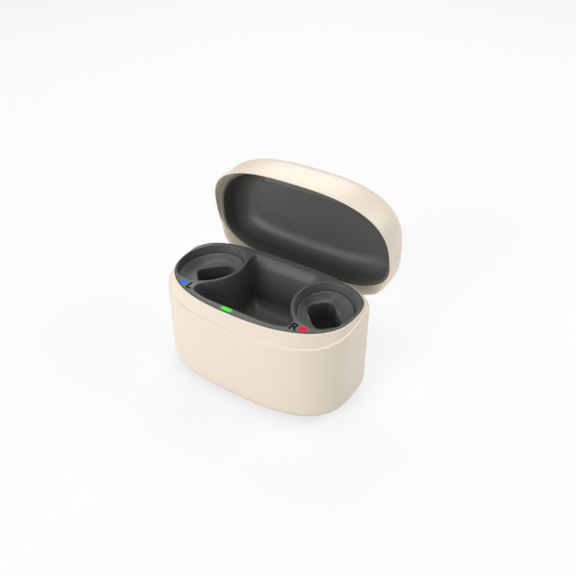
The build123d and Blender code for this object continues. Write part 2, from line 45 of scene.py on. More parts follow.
# Everything is shaped in millimetres and brought to metres when a piece is settled.
case = {
    "centreY": 2.2,
    "halfLength": 38.2,
    "frontReach": 24.0,
    "backReach": 19.6,
    "frontRound": 2.8,
    "backRound": 3.2,
    "bottomZ": 0.4,
    "bottomRounding": 5.5,
    "coverTopZ": 2.4,
    "seam": ((0.02, 0.25), (0.08, 0.08)),  # rise and inset of the line above the bottom plate
    "wallHeights": (2.65, 3.2, 3.8, 4.5, 5.2, 5.9, 14.0, 24.0),
    "creaseFrontDrop": 6.2,
    "creaseTilt": 10.0,
    "creaseRounding": 0.6,
    "creaseSteps": 5,
    "ledge": 0.75,
    "footRound": 0.12,
    "footRise": 0.16,
    "backFoot": (0.85, 0.55),
    "backFootRise": 0.25,
    "bandShares": (0.25, 0.5, 0.75, 0.92),
    "landWidth": 0.5,
    "landDrop": 0.4,
    "landEdge": 0.28,
    "landEdgeSquash": 0.9,
    "landLip": 0.12,
    "stepY": 9.6,
    "shelfDrop": 2.9,
    "rimRadius": 4.9,
    "hollowTopZ": 33.0,
    "hollow": ((2.8, 30.5), (3.4, 6.0), (6.2, 3.2)),  # inset and height of the inside wall
}
socket = {"halfWidth": 4.75, "halfHeight": 1.85, "z": 13.6, "frontY": 17.0, "backY": 24.0}
cover = {
    "heights": (0.43, 0.5, 0.65, 0.85, 1.1, 1.4, 1.8, 2.2),
    "underside": (1.0, 0.02),
    "topEdge": ((2.34, 0.0515), (2.4, 0.3)),  # height and inset
}
deck = {
    "halfLength": 36.5,
    "frontReach": 22.0,
    "backReach": 16.2,
    "frontRound": 2.44,
    "backRound": 3.2,
    "z": 39.4,
    "edge": 0.4,
    "flange": 1.4,
    "flangeGap": 0.05,
    "seat": 0.7,
    "gap": 0.16,
}
hinge = {
    "y": 18.4,
    "z": 31.9,
    "openAngle": 88.0,
    "knuckleHalf": 13.0,
    "knuckleRadius": 3.1,
    "notchGap": 0.3,
    "notchRadius": 3.4,
    "notchBack": 0.55,
    "notchDrop": 4.1,
    "notchFar": (30.0, 40.0),
    "web": ((0.9, 0.0), (3.12, 0.0), (3.16, 4.3), (2.9, 6.4), (0.9, 6.4)),
    "softening": 0.25,
    "softenedOver": 50.0,
}
lid = {
    "topZ": 53.6,
    "rounding": 9.0,
    "roof": 1.5,
    "gap": 0.3,
    "sweepEndY": 17.5,
    "backEdgeRise": 4.2,
    "edge": ((0.32, 0.0), (0.16, 0.03), (0.05, 0.1), (0.0, 0.22)),  # inset and rise of the outer edge
    "wallFoot": (40.5, 0.6),
    "mouthInset": 0.42,
    "mouthBack": 1.8,
    "mouthTop": (0.92, 39.2),
    "seat": ((0.86, 39.75), (0.66, 39.85), (0.66, 44.0)),  # outline and height of the lining's seat
}
lining = {
    "wall": 0.9,
    "inset": 0.4,
    "rounding": 8.0,
    "roof": 1.0,
    "gap": 0.1,
    "lipOutside": ((0.5, 0.25), (0.42, 0.07), (0.25, 0.0)),  # outline and rise of the lining's edge
    "lipInside": ((-0.1, 0.0), (-0.3, 0.08), (-0.4, 0.3), (-0.5, 3.0)),
}
pad = {
    "half": 16.0,
    "depth": 4.6,
    "height": 6.0,
    "rounding": 0.4,
    "overlap": 0.3,
    "recess": 0.25,
    "steps": 40,
}
# a ring's points before and behind the step, and how far each end stands off the step's line
frontCount, backCount, stepSplit = 150, 90, 0.02
creaseFrontZ = deck["z"] - case["creaseFrontDrop"]
caseFrontY = case["centreY"] - case["frontReach"]
shelfZ = deck["z"] - case["shelfDrop"]
landZ = deck["z"] - case["landDrop"]
liningLipZ = deck["z"] + lid["gap"]


def creaseZ(y):
    return creaseFrontZ + math.tan(math.radians(case["creaseTilt"])) * (y - caseFrontY)


def ovalPoint(form, grow, turn):
    # the point of an oval with a squarer back, at an angle about the outline's centre
    c, s = math.cos(turn), math.sin(turn)
    power = form["backRound"] if s > 0 else form["frontRound"]
    reach = (form["backReach"] if s > 0 else form["frontReach"]) + grow
    k = (abs(c) ** power + abs(s) ** power) ** (-1 / power)
    return (form["halfLength"] + grow) * c * k, case["centreY"] + reach * s * k


def stepTurn(form, grow):
    # the angle at which an oval crosses the line of the step
    rise = (case["stepY"] - case["centreY"]) / (form["backReach"] + grow)
    return math.atan2(rise, (1 - rise ** form["backRound"]) ** (1 / form["backRound"]))


def steppedRing(front, back):
    # front and back are (form, grow, height function); the ring jumps from one to the other at the step
    points = []
    form, grow, height = front
    first = stepTurn(form, grow)
    for i in range(frontCount):
        x, y = ovalPoint(form, grow, first - (math.pi + 2 * first) * i / (frontCount - 1))
        points.append((x, y - stepSplit, height(y)))
    form, grow, height = back
    first = stepTurn(form, grow)
    for i in range(backCount):
        x, y = ovalPoint(form, grow, math.pi - first - (math.pi - 2 * first) * i / (backCount - 1))
        points.append((x, y + stepSplit, height(y)))
    return points


def sameRing(form, grow, height):
    level = height if callable(height) else (lambda y: height)
    return steppedRing((form, grow, level), (form, grow, level))


def lifted(flat, z):
    return [(x, y, z) for x, y in flat]


def mixed(one, other, share):
    return [tuple(a + (b - a) * share for a, b in zip(p, q)) for p, q in zip(one, other)]


def leaveEditing():
    if bpy.context.object and bpy.context.object.mode != "OBJECT":
        bpy.ops.object.mode_set(mode="OBJECT")
    bpy.ops.object.select_all(action="DESELECT")


def ringPiece(name, rings, capStart=True, capEnd=True):
    # a circle is laid on the first ring and drawn out from ring to ring in edit mode
    leaveEditing()
    bpy.ops.mesh.primitive_circle_add(vertices=len(rings[0]), radius=1.0)
    piece = bpy.context.object
    piece.name = name
    for vertex, point in zip(piece.data.vertices, rings[0]):
        vertex.co = point
    bpy.ops.object.mode_set(mode="EDIT")
    bpy.ops.mesh.select_all(action="SELECT")
    if capStart:
        bpy.ops.mesh.edge_face_add()
        mesh = bmesh.from_edit_mesh(piece.data)
        for face in mesh.faces:
            face.select = False
        for edge in mesh.edges:
            edge.select = True
        bpy.ops.mesh.select_mode(type="EDGE")
    last = rings[0]
    for ring in rings[1:]:
        bpy.ops.mesh.extrude_edges_move(TRANSFORM_OT_translate={"value": (0, 0, 0)})
        mesh = bmesh.from_edit_mesh(piece.data)
        places = {(round(p[0], 4), round(p[1], 4), round(p[2], 4)): i for i, p in enumerate(last)}
        for vertex in mesh.verts:
            if vertex.select:
                spot = tuple(round(value, 4) for value in vertex.co)
                index = places.get(spot)
                if index is None:
                    index = min(range(len(last)), key=lambda i: (vertex.co - Vector(last[i])).length)
                vertex.co = ring[index]
        bmesh.update_edit_mesh(piece.data)
        last = ring
    if capEnd:
        bpy.ops.mesh.edge_face_add()
    bpy.ops.mesh.select_all(action="SELECT")
    bpy.ops.mesh.normals_make_consistent(inside=False)
    leaveEditing()
    return piece


def finishPiece(piece, angle=32.0):
    # brings a piece to metres at the origin and smooths what is not an edge
    leaveEditing()
    bpy.context.view_layer.objects.active = piece
    piece.select_set(True)
    piece.scale = (0.001, 0.001, 0.001)
    bpy.ops.object.transform_apply(location=True, rotation=True, scale=True)
    bpy.ops.object.shade_smooth_by_angle(angle=math.radians(angle))
    leaveEditing()


def cutAway(piece, cutter):
    leaveEditing()
    bpy.context.view_layer.objects.active = piece
    piece.select_set(True)
    cut = piece.modifiers.new("cut", "BOOLEAN")
    cut.operation = "DIFFERENCE"
    cut.solver = "EXACT"
    cut.object = cutter
    bpy.ops.object.modifier_apply(modifier=cut.name)
    bpy.data.objects.remove(cutter)


def rodAlongX(name, halfLength, y, z, radius, sides=64):
    leaveEditing()
    bpy.ops.mesh.primitive_cylinder_add(
        vertices=sides, radius=radius, depth=2 * halfLength, location=(0, y, z), rotation=(0, math.pi / 2, 0)
    )
    rod = bpy.context.object
    rod.name = name
    bpy.ops.object.transform_apply(location=True, rotation=True, scale=True)
    return rod


def boxPiece(name, low, high):
    leaveEditing()
    middle = [(a + b) / 2 for a, b in zip(low, high)]
    bpy.ops.mesh.primitive_cube_add(size=1.0, location=middle)
    piece = bpy.context.object
    piece.name = name
    piece.scale = [b - a for a, b in zip(low, high)]
    bpy.ops.object.transform_apply(location=True, rotation=True, scale=True)
    return piece


def opened(point):
    # a point of the closed lid, swung up to where the photograph shows it
    turn = math.radians(-hinge["openAngle"])
    a, b = point[1] - hinge["y"], point[2] - hinge["z"]
    y = hinge["y"] + a * math.cos(turn) - b * math.sin(turn)
    return point[0], y, hinge["z"] + a * math.sin(turn) + b * math.cos(turn)


def openedRings(rings):
    return [[opened(point) for point in ring] for ring in rings]


def bottomInset(z):
    radius = case["bottomRounding"]
    below = case["bottomZ"] + radius - z
    return 0.0 if below <= 0 else radius - math.sqrt(radius * radius - below * below)


def shelfHeight(y):
    # the rear shelf rolls down over the hinge at the very back
    if y <= hinge["y"]:
        return shelfZ
    return min(shelfZ, hinge["z"] + math.sqrt(case["rimRadius"] ** 2 - (y - hinge["y"]) ** 2))


def quarterTurn(radius, steps):
    # insets and rises along the rounding of an edge, from its foot to its top
    for step in range(steps + 1):
        turn = math.pi / 2 * step / steps
        yield radius * (1 - math.cos(turn)), radius * math.sin(turn)


def makeCaseBody():
    r = case["creaseRounding"]
    rings = []

    def wallRing(z, grow):
        rings.append(sameRing(case, grow, z))

    low = case["coverTopZ"]
    for rise, inset in case["seam"]:
        wallRing(low + rise, -bottomInset(low) - inset)
    for z in case["wallHeights"]:
        wallRing(z, -bottomInset(z))
    # the tilted crease in front, the rear shelf behind
    for inset, rise in quarterTurn(r, case["creaseSteps"]):
        front = (case, -inset, lambda y, d=r - rise: creaseZ(y) - d)
        rings.append(steppedRing(front, (case, -inset, lambda y, d=r - rise: shelfHeight(y) - d)))
    foot = -case["ledge"]
    footTop = foot - case["footRound"]
    backLow, backHigh = case["backFoot"]
    rings.append(steppedRing((case, foot, creaseZ), (deck, backLow, shelfHeight)))
    front = (case, footTop, lambda y: creaseZ(y) + case["footRise"])
    rings.append(steppedRing(front, (deck, backHigh, lambda y: shelfZ + case["backFootRise"])))
    # the sloping band up to the land
    for share in case["bandShares"]:
        rings.append(bandRing(footTop, case["footRise"], case["landWidth"], share))
    edge = case["landEdge"]
    for inset, rise in quarterTurn(edge, 3):
        drop = (edge - rise) * case["landEdgeSquash"]
        rings.append(sameRing(deck, case["landWidth"] - inset, landZ - drop))
    seatZ = deck["z"] - deck["flange"]
    rings.append(sameRing(deck, deck["gap"] + case["landLip"], landZ))
    rings.append(sameRing(deck, deck["gap"], landZ - case["landLip"]))
    rings.append(sameRing(deck, deck["gap"], seatZ))
    rings.append(sameRing(deck, -deck["seat"], seatZ))
    rings.append(sameRing(deck, -deck["seat"], case["hollowTopZ"]))
    for inset, z in case["hollow"]:
        rings.append(sameRing(case, -inset, z))
    body = ringPiece("caseBody", rings)
    half = hinge["knuckleHalf"] + hinge["notchGap"]
    reach = hinge["notchRadius"] + hinge["notchGap"]
    cutAway(body, rodAlongX("notchRound", half, hinge["y"], hinge["z"], reach, 96))
    low = (-half, hinge["y"] + hinge["notchBack"], hinge["z"] - hinge["notchDrop"])
    cutAway(body, boxPiece("notchBack", low, (half, *hinge["notchFar"])))
    cutAway(body, capsulePiece("socketHole"))
    finishPiece(body)
    return body


def bandRing(footGrow, footRise, top, share):
    # a ring part of the way up the sloping band, between its foot and the land
    low = sameRing(case, footGrow, lambda y: creaseZ(y) + footRise)
    slope = mixed(low, sameRing(deck, top, landZ), share)
    upright = sameRing(deck, top, shelfZ + (landZ - shelfZ) * share)
    return slope[:frontCount] + upright[frontCount:]


def capsulePiece(name, sides=32):
    # a flat-sided round bar through the back wall, the shape of the charging socket
    ring = []
    radius = socket["halfHeight"]
    inner = socket["halfWidth"] - radius
    for i in range(sides):
        turn = 2 * math.pi * (i + 0.5) / sides
        x = math.copysign(inner, math.cos(turn)) + radius * math.cos(turn)
        ring.append((x, socket["z"] + radius * math.sin(turn)))
    return ringPiece(name, [[(x, y, z) for x, z in ring] for y in (socket["frontY"], socket["backY"])])


def makeCover():
    low = case["bottomZ"]
    rings = [sameRing(case, -bottomInset(low) - inset, low) for inset in cover["underside"]]
    rings += [sameRing(case, -bottomInset(z), z) for z in cover["heights"]]
    rings += [sameRing(case, -bottomInset(z) - inset, z) for z, inset in cover["topEdge"]]
    plate = ringPiece("bottomCover", rings)
    finishPiece(plate)
    return plate


bodyPiece = makeCaseBody()
coverPiece = makeCover()
print("stage: case made")


def makeLidShell():
    gap = lid["gap"]
    backEdge = hinge["z"] + lid["backEdgeRise"]

    def lowEdge(y):
        # behind the step the edge sweeps down to the rear shelf, then goes round the hinge
        share = min(1.0, max(0.0, (y - case["stepY"]) / (lid["sweepEndY"] - case["stepY"])))
        smooth = share * share * (3 - 2 * share)
        level = (creaseZ(case["stepY"]) + gap) * (1 - smooth) + (shelfZ + gap) * smooth
        if y < lid["sweepEndY"]:
            return level
        reach = case["rimRadius"] + gap
        roll = hinge["z"] + math.sqrt(max(0.0, reach**2 - (y - hinge["y"]) ** 2))
        return max(roll, level if y < hinge["y"] else backEdge)

    outer = []
    # the outer wall, from the lower edge up
    for inset, rise in lid["edge"]:
        front = (case, -inset, lambda y, d=rise: creaseZ(y) + gap + d)
        outer.append(steppedRing(front, (case, -inset, lambda y, d=rise: lowEdge(y) + d)))
    wallZ, wallRise = lid["wallFoot"]
    outer.append(sameRing(case, 0.0, lambda y: max(wallZ, creaseZ(y) + gap + wallRise)))
    r = lid["rounding"]
    for inset, rise in quarterTurn(r, 12):
        outer.append(sameRing(case, -inset, lid["topZ"] - r + rise))
    # the inner side: the slope that lies over the shoulder, then the seat of the lining
    front = (case, -lid["mouthInset"], lambda y: creaseZ(y) + gap)
    low = steppedRing(front, (deck, lid["mouthBack"], lowEdge))
    high = sameRing(deck, *lid["mouthTop"])
    inner = [low, mixed(low, high, 0.5), high]
    inner += [sameRing(deck, grow, z) for grow, z in lid["seat"]]
    seatGrow = lid["seat"][-1][0]
    r = lining["rounding"]
    for inset, rise in quarterTurn(r, 6):
        inner.append(sameRing(deck, seatGrow - inset, lid["topZ"] - lid["roof"] - r + rise))
    shell = ringPiece("lidShell", openedRings(list(reversed(outer)) + inner))
    finishPiece(shell)
    return shell


def makeKnuckle():
    # the lid's hinge barrel and the web that carries it, in the open position
    half = hinge["knuckleHalf"]
    barrel = rodAlongX("knuckle", half, hinge["y"], hinge["z"], hinge["knuckleRadius"], 72)
    rings = [[opened((x, hinge["y"] + a, hinge["z"] + b)) for a, b in hinge["web"]] for x in (-half, half)]
    web = ringPiece("hingeKnuckle", rings)
    web.select_set(True)
    bpy.context.view_layer.objects.active = web
    join = web.modifiers.new("join", "BOOLEAN")
    join.operation = "UNION"
    join.solver = "EXACT"
    join.object = barrel
    bpy.ops.object.modifier_apply(modifier=join.name)
    bpy.data.objects.remove(barrel)
    soften = web.modifiers.new("soften", "BEVEL")
    soften.width = hinge["softening"]
    soften.segments = 3
    soften.limit_method = "ANGLE"
    soften.angle_limit = math.radians(hinge["softenedOver"])
    bpy.ops.object.modifier_apply(modifier=soften.name)
    finishPiece(web)
    return web


def makeLining():
    top = lid["topZ"] - lid["roof"] - lining["gap"]
    outside = lining["wall"] - lining["inset"]
    r = lining["rounding"] - lining["gap"]
    rings = []
    for inset, rise in reversed(list(quarterTurn(r, 7))):
        rings.append(sameRing(deck, outside - inset, top - r + rise))
    for grow, rise in lining["lipOutside"] + lining["lipInside"]:
        rings.append(sameRing(deck, grow, liningLipZ + rise))
    r = lining["rounding"] - lining["roof"]
    innerGrow = lining["lipInside"][-1][0]
    for inset, rise in list(quarterTurn(r, 11))[1:]:
        rings.append(sameRing(deck, innerGrow - inset, top - lining["roof"] - r + rise))
    piece = ringPiece("lidLining", openedRings(rings))
    finishPiece(piece, 40)
    return piece


def makePad():
    # the block over the two lid magnets, behind the front of the lining
    edge = pad["rounding"]
    back = case["centreY"] - deck["frontReach"] + pad["depth"]
    power = deck["frontRound"]
    rings = []
    for inset, rise in ((edge, 0.0), (edge * 0.3, edge * 0.3), (0.0, edge)):
        z = liningLipZ + pad["recess"] + rise
        across = [(pad["half"] - inset) * (2 * i / pad["steps"] - 1) for i in range(pad["steps"] + 1)]
        ring = []
        for x in across:
            share = (1 - (abs(x) / (deck["halfLength"] - lining["inset"])) ** power) ** (1 / power)
            reach = (deck["frontReach"] - lining["inset"] + pad["overlap"]) * share
            ring.append((x, case["centreY"] - reach, z))
        rings.append(ring + [(x, back - inset, z) for x in reversed(across)])
    rings.append([(x, y, liningLipZ + pad["height"]) for x, y, z in rings[-1]])
    piece = ringPiece("lidPad", openedRings(rings))
    finishPiece(piece, 40)
    return piece


lidPiece = makeLidShell()
knucklePiece = makeKnuckle()
liningPiece = makeLining()
padPiece = makePad()
print("stage: lid made")

pocket = {
    "x": 24.9,
    "y": 1.8,
    "turn": 22.0,
    "halfWidth": 11.3,
    "halfDepth": 14.0,
    "deckMargin": 0.55,
    "flareMargin": 0.4,
    "stepDrop": 3.0,
    "mouthInset": 0.95,
    "rimRounding": 0.35,
    "flareShares": (0.35, 0.7, 1.0),
    "boreEdge": 0.4,
    "boreInset": 0.1,
    "boreDepth": 2.2,
    "count": 144,
}
cup = {
    "gap": 0.2,
    "margin": 1.15,
    "rim": ((0.0, 1.2), (0.0, 0.35), (0.08, 0.2), (0.25, 0.12)),  # inset and drop at the joint line
    "slopeInset": 0.5,
    "slopeDrop": 0.22,
    "slopeSteps": 14,
    "slopeSag": 0.55,
    "slopeEasing": 60,
}
slot = {
    "x": 23.6,
    "y": 3.0,
    "turn": 45.0,
    "halfLength": 7.2,
    "halfWidth": 5.1,
    "round": 4.0,
    "rimDrop": 6.0,
    "rimRounding": 0.5,
    "rimRise": 0.3,
    "rimFall": 0.6,
    "wallDrop": 12.0,
    "depth": 19.0,
    "floorRounding": 0.9,
}
marks = {
    "size": 5.0,
    "thickness": 0.06,
    "sink": 0.01,
    "boldness": 0.12,
    "leftX": -22.0,
    "rightX": 22.0,
    "letterY": -14.4,
    "dotX": 25.2,
    "dotY": -13.8,
    "dotRadius": 1.4,
    "dotSides": 48,
    "seatGap": 0.03,
    "seatDepth": 0.6,
    "lightX": -2.7,
    "lightY": -18.5,
    "lightHalfLength": 2.2,
    "lightHalfWidth": 0.9,
    "lightCorner": 0.76,
    "glowSpread": (0.28, 0.55),
}
well = {
    "frontY": -17.3,
    "backY": 15.3,
    "lean": 1.8,
    "leanHeight": 4.5,
    "frontHalf": 20.3,
    "backHalf": 14.2,
    "deckMargin": 1.85,
    "rimWidth": 0.8,
    "depth": 22.0,
    "centreY": -3.0,
    "count": 288,
    "smoothing": 10,
    "rimRounding": 0.35,
    "leanShares": (0.3, 0.65, 1.0),
    "floorRounding": 5.0,
}


def insideOval(form, grow, x, y):
    reach = (form["backReach"] if y > case["centreY"] else form["frontReach"]) + grow
    power = form["backRound"] if y > case["centreY"] else form["frontRound"]
    return (abs(x) / (form["halfLength"] + grow)) ** power + (abs(y - case["centreY"]) / reach) ** power < 1


def insidePocket(side, inset, x, y):
    a = math.radians(side * pocket["turn"])
    dx, dy = x - side * pocket["x"], y - pocket["y"]
    u, v = dx * math.cos(a) + dy * math.sin(a), -dx * math.sin(a) + dy * math.cos(a)
    return (u / (pocket["halfWidth"] - inset)) ** 2 + (v / (pocket["halfDepth"] - inset)) ** 2 < 1


def castOut(x, y, turn, inside, far=60.0):
    # how far one can go from a point in a direction before leaving a form
    step = 1.0
    while step < far and inside(x + step * math.cos(turn), y + step * math.sin(turn)):
        step += 1.0
    low, high = step - 1.0, step
    for _ in range(22):
        middle = (low + high) / 2
        if inside(x + middle * math.cos(turn), y + middle * math.sin(turn)):
            low = middle
        else:
            high = middle
    return low


def relax(flat, passes):
    for _ in range(passes):
        flat = [
            tuple((flat[i - 1][k] + 2 * flat[i][k] + flat[(i + 1) % len(flat)][k]) / 4 for k in (0, 1))
            for i in range(len(flat))
        ]
    return flat


def wellOutline(grow, backY):
    def inside(x, y):
        if y < well["frontY"] - grow or y > backY + grow:
            return False
        if abs(x) > (well["frontHalf"] if y < pocket["y"] else well["backHalf"]) + grow:
            return False
        if not insideOval(deck, grow - well["deckMargin"], x, y):
            return False
        side = 1 if x > 0 else -1
        return not insidePocket(side, grow - well["rimWidth"], x, y)

    flat = []
    for i in range(well["count"]):
        turn = 2 * math.pi * i / well["count"]
        reach = castOut(0.0, well["centreY"], turn, inside)
        flat.append((reach * math.cos(turn), well["centreY"] + reach * math.sin(turn)))
    return relax(flat, well["smoothing"])


def pocketOutline(side, inset, margin):
    flat = []
    for i in range(pocket["count"]):
        turn = 2 * math.pi * i / pocket["count"]
        reach = castOut(
            side * pocket["x"],
            pocket["y"],
            turn,
            lambda x, y: insidePocket(side, inset, x, y) and insideOval(deck, -margin, x, y),
        )
        flat.append((side * pocket["x"] + reach * math.cos(turn), pocket["y"] + reach * math.sin(turn)))
    return relax(flat, 2)


def slotOutline(side, grow):
    flat = []
    a = math.radians(-side * slot["turn"])
    for i in range(pocket["count"]):
        t = 2 * math.pi * i / pocket["count"]
        c, s = abs(math.cos(t - a)), abs(math.sin(t - a))
        n = slot["round"]
        k = ((c / (slot["halfLength"] + grow)) ** n + (s / (slot["halfWidth"] + grow)) ** n) ** (-1 / n)
        flat.append((side * slot["x"] + k * math.cos(t), slot["y"] + k * math.sin(t)))
    return flat


def dotOutline(side):
    turns = [2 * math.pi * i / marks["dotSides"] for i in range(marks["dotSides"])]
    radius = marks["dotRadius"] + marks["seatGap"]
    x, y = side * marks["dotX"], marks["dotY"]
    return [(x + radius * math.cos(t), y + radius * math.sin(t)) for t in turns]


def lightOutline():
    # a rounded oblong round the window of the green light
    flat = []
    corner = marks["lightCorner"] + marks["seatGap"]
    for i in range(marks["dotSides"]):
        t = 2 * math.pi * (i + 0.5) / marks["dotSides"]
        x = math.copysign(marks["lightHalfLength"] - marks["lightCorner"], math.cos(t))
        y = math.copysign(marks["lightHalfWidth"] - marks["lightCorner"], math.sin(t))
        x, y = x + corner * math.cos(t), y + corner * math.sin(t)
        flat.append((marks["lightX"] + x, marks["lightY"] + y))
    return flat


def atDeckTop(points):
    return all(abs(point.co.z - deck["z"]) < 1e-4 for point in points)


def pocketRings(side):
    # the rounded rim of a pocket, its flare down to the joint line, and the bore behind the line
    z, rim, drop = deck["z"], pocket["rimRounding"], pocket["stepDrop"]
    margin, inset = pocket["deckMargin"], pocket["mouthInset"]
    rings = []
    for fall, reach in quarterTurn(rim, 4):
        rings.append(lifted(pocketOutline(side, reach, margin), z - fall))
    for share in pocket["flareShares"]:
        flat = pocketOutline(side, rim + (inset - rim) * share, margin + pocket["flareMargin"] * share)
        rings.append(lifted(flat, z - rim - (drop - rim) * share))
    margin += pocket["flareMargin"]
    rings.append(lifted(pocketOutline(side, inset, margin), z - drop - pocket["boreEdge"]))
    bore = pocketOutline(side, inset - pocket["boreInset"], margin)
    rings.append(lifted(bore, z - drop - pocket["boreDepth"]))
    return rings


def wellRings():
    z, rim, soft = deck["z"], well["rimRounding"], well["floorRounding"]
    rings = []
    for fall, reach in quarterTurn(rim, 4):
        rings.append(lifted(wellOutline(rim - reach, well["backY"]), z - fall))
    for share in well["leanShares"]:
        flat = wellOutline(0.0, well["backY"] - well["lean"] * share)
        rings.append(lifted(flat, z - rim - (well["leanHeight"] - rim) * share))
    for inset, rise in quarterTurn(soft, 6):
        flat = wellOutline(-inset, well["backY"] - well["lean"])
        rings.append(lifted(flat, z - well["depth"] + soft - rise))
    return rings


def makeDeck():
    z, edge = deck["z"], deck["edge"]
    low = z - deck["flange"] + deck["flangeGap"]
    rings = [sameRing(deck, -deck["seat"], low), sameRing(deck, 0.0, low)]
    for inset, rise in quarterTurn(edge, 4):
        rings.append(sameRing(deck, -inset, z - edge + rise))
    plate = ringPiece("deckTray", rings, capStart=False, capEnd=False)
    loops = [plate]
    for side in (-1, 1):
        loops.append(ringPiece("pocketEdge", pocketRings(side), capStart=False, capEnd=False))
    for hole in [dotOutline(-1), dotOutline(1), lightOutline()]:
        seat = [lifted(hole, z), lifted(hole, z - marks["seatDepth"])]
        loops.append(ringPiece("markSeat", seat, capStart=False, capEnd=False))
    loops.append(ringPiece("wellEdge", wellRings(), capStart=False, capEnd=True))
    leaveEditing()
    for loop in loops:
        loop.select_set(True)
    bpy.context.view_layer.objects.active = plate
    bpy.ops.object.join()
    # the deck's flat top is filled between the edges that lie in it
    bpy.ops.object.mode_set(mode="EDIT")
    bpy.ops.mesh.select_all(action="DESELECT")
    bpy.ops.mesh.select_mode(type="EDGE")
    mesh = bmesh.from_edit_mesh(plate.data)
    for line in mesh.edges:
        if line.is_boundary and atDeckTop(line.verts):
            line.select = True
    mesh.select_flush_mode()
    bmesh.update_edit_mesh(plate.data)
    bpy.ops.mesh.fill(use_beauty=True)
    bpy.ops.mesh.select_all(action="SELECT")
    bpy.ops.mesh.normals_make_consistent(inside=False)
    mesh = bmesh.from_edit_mesh(plate.data)
    if sum(face.normal.z * face.calc_area() for face in mesh.faces if atDeckTop(face.verts)) < 0:
        bpy.ops.mesh.flip_normals()
    leaveEditing()
    plate.name = "deckTray"
    finishPiece(plate, 30)
    return plate


def makeCup(side, name):
    z = deck["z"]
    mouthZ, slotZ, floorZ = z - pocket["stepDrop"], z - slot["rimDrop"], z - slot["depth"]
    mouth = pocket["mouthInset"] + cup["gap"]
    rings = []
    for inset, drop in cup["rim"]:
        rings.append(lifted(pocketOutline(side, mouth + inset, cup["margin"]), mouthZ - drop))
    # the slope bellies out a little before it meets the slot
    first = pocketOutline(side, mouth + cup["slopeInset"], cup["margin"])
    last = slotOutline(side, slot["rimRounding"])
    highZ, lowZ = mouthZ - cup["slopeDrop"], slotZ + slot["rimRise"]
    for step in range(cup["slopeSteps"] + 1):
        share = step / cup["slopeSteps"]
        flat = relax(mixed(first, last, share), round(cup["slopeEasing"] * share * (1 - share)))
        sag = cup["slopeSag"] * math.sin(math.pi * share)
        rings.append(lifted(flat, highZ + (lowZ - highZ) * share - sag))
    for fall, reach in list(quarterTurn(1.0, 3))[1:]:
        flat = slotOutline(side, slot["rimRounding"] * (1 - reach))
        rings.append(lifted(flat, lowZ - slot["rimFall"] * fall))
    rings.append(lifted(slotOutline(side, 0.0), z - slot["wallDrop"]))
    soft = slot["floorRounding"]
    for inset, rise in quarterTurn(soft, 3):
        rings.append(lifted(slotOutline(side, -inset), floorZ + soft - rise))
    piece = ringPiece(name, rings, capStart=False, capEnd=True)
    bpy.context.view_layer.objects.active = piece
    piece.select_set(True)
    bpy.ops.object.mode_set(mode="EDIT")
    mesh = bmesh.from_edit_mesh(piece.data)
    bottom = max(mesh.faces, key=lambda face: len(face.verts))
    if bottom.normal.z < 0:
        bpy.ops.mesh.select_all(action="SELECT")
        bpy.ops.mesh.flip_normals()
    leaveEditing()
    finishPiece(piece, 40)
    return piece


deckPiece = makeDeck()
leftCup = makeCup(-1, "leftPocketCup")
rightCup = makeCup(1, "rightPocketCup")
print("stage: deck and pockets made")


def makeLetter(letter, x):
    leaveEditing()
    height = deck["z"] + marks["thickness"] / 2 - marks["sink"]
    bpy.ops.object.text_add(location=(x, marks["letterY"], height))
    text = bpy.context.object
    text.data.body = letter
    text.data.size = marks["size"]
    text.data.align_x = "CENTER"
    text.data.align_y = "CENTER"
    text.data.extrude = marks["thickness"] / 2
    text.data.offset = marks["boldness"]
    bpy.ops.object.convert(target="MESH")
    text = bpy.context.object
    text.name = f"letter{letter}"
    bpy.ops.object.transform_apply(location=True, rotation=True, scale=True)
    finishPiece(text, 20)
    return text


leftLetter = makeLetter("L", marks["leftX"])
rightLetter = makeLetter("R", marks["rightX"])
print("stage: ear marks made")


def newMaterial(name):
    material = bpy.data.materials.new(name)
    material.use_nodes = True
    nodes = material.node_tree.nodes
    return material, nodes, material.node_tree.links, nodes["Principled BSDF"]


def addNode(nodes, kind, **inputs):
    node = nodes.new(kind)
    for key, value in inputs.items():
        node.inputs[key.replace("_", " ")].default_value = value
    return node


moulding = {
    "wornFrom": 0.53,
    "wornTo": 0.62,
    "grainHeight": 0.00002,
}


